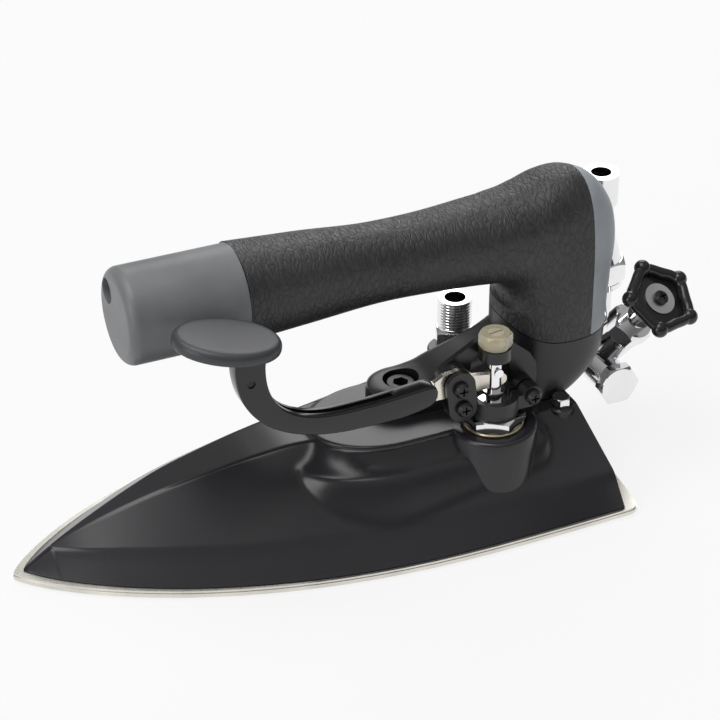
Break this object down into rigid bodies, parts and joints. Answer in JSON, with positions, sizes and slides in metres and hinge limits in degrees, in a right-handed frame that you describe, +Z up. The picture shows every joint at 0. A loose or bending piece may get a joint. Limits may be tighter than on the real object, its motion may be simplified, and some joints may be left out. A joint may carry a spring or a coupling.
{
  "type": "all-steam iron",
  "caption": "Boiler-fed steam iron with boat-shaped sole, leather-grain handle on a post, thumb lever lifting a side steam valve, and a handwheel drain valve.",
  "frame": {"origin": "middle of the soleplate's underside, on the ground", "axes": "+Z up, -X towards the tip of the sole, -Y is the side with the lever and the steam valve"},
  "size_m": [0.2486, 0.104, 0.1117],
  "materials": {
    "sole_metal": "satin",
    "cast_metal": "as cast",
    "cover_black": "gloss",
    "bright_metal": "polished",
    "foot_black": "smooth satin",
    "screw_black": "black oxide",
    "core_steel": "plain",
    "grip_leather": "fine grain",
    "cap_grey": "satin",
    "strip_grey": "satin",
    "washer_brass": "worn",
    "bracket_black": "semi-gloss",
    "cap_clear": "clear",
    "plate_nickel": "satin nickel",
    "arm_black": "gloss",
    "pad_grey": "satin",
    "wheel_black": "gloss",
    "wheel_silver": "brushed"
  },
  "bodies": {
    "base": {"sole_plate": "sole_metal", "base_casting": "cast_metal", "body_cover": "cover_black", "cover_bolts": "bright_metal", "valve_bonnet": "bright_metal", "rear_manifold": "bright_metal", "manifold_plug": "bright_metal", "stub_pipe": "bright_metal", "union_nut": "bright_metal", "outlet_tube": "bright_metal", "drain_bonnet": "bright_metal", "inlet_nipple": "bright_metal", "handle_foot": "foot_black", "foot_screw": "screw_black", "cap_screw": "screw_black", "pivot_screw": "screw_black", "ear_screw": "screw_black", "lug_screw": "screw_black", "handle_core": "core_steel", "grip": "grip_leather", "front_cap": "cap_grey", "rear_strip": "strip_grey", "valve_washer": "washer_brass", "valve_seat": "washer_brass", "clamp_ring": "bracket_black", "ear_plate": "bracket_black", "bridge_bracket": "bracket_black", "lock_cap": "cap_clear"},
    "lever": {"lever_plate": "plate_nickel", "lever_arm": "arm_black", "arm_pin": "screw_black", "thumb_pad": "pad_grey"},
    "stem": {"valve_stem": "bright_metal", "stem_pin": "bright_metal"},
    "adjuster": {"adjusting_screw": "bright_metal"},
    "drain_stem": {"drain_spindle": "bright_metal"},
    "drain_wheel": {"handwheel": "wheel_black", "wheel_plate": "wheel_silver", "wheel_screw": "screw_black"}
  },
  "joints": [
    {"name": "lever_pivot", "type": "hinge", "parent": "base", "child": "lever", "pos_m": [0.0451, -0.026, 0.0534], "axis": [0, -1, 0], "range_deg": [0, 8], "stiffness_Nm_per_rad": 2, "springref_deg": -5.73},
    {"name": "stem_slide", "type": "slide", "parent": "base", "child": "stem", "axis": [0, 0, 1], "range_m": [0, 0.00195]},
    {"name": "adjuster_turn", "type": "hinge", "parent": "base", "child": "adjuster", "pos_m": [0.059, -0.026, 0.066], "axis": [0, 0, 1], "range_deg": [-180, 180]},
    {"name": "drain_slide", "type": "slide", "parent": "base", "child": "drain_stem", "axis": [0.1801, -0.6002, 0.7793], "range_m": [0, 0.00225]},
    {"name": "drain_turn", "type": "hinge", "parent": "drain_stem", "child": "drain_wheel", "pos_m": [0.1296, -0.01301, 0.05947], "axis": [0.1801, -0.6002, 0.7793], "range_deg": [0, 540]}
  ],
  "couplings": [
    {"joint": "lever_pivot", "follows": "stem_slide", "rad_per_m": 71.6},
    {"joint": "drain_turn", "follows": "drain_slide", "rad_per_m": 4188}
  ]
}
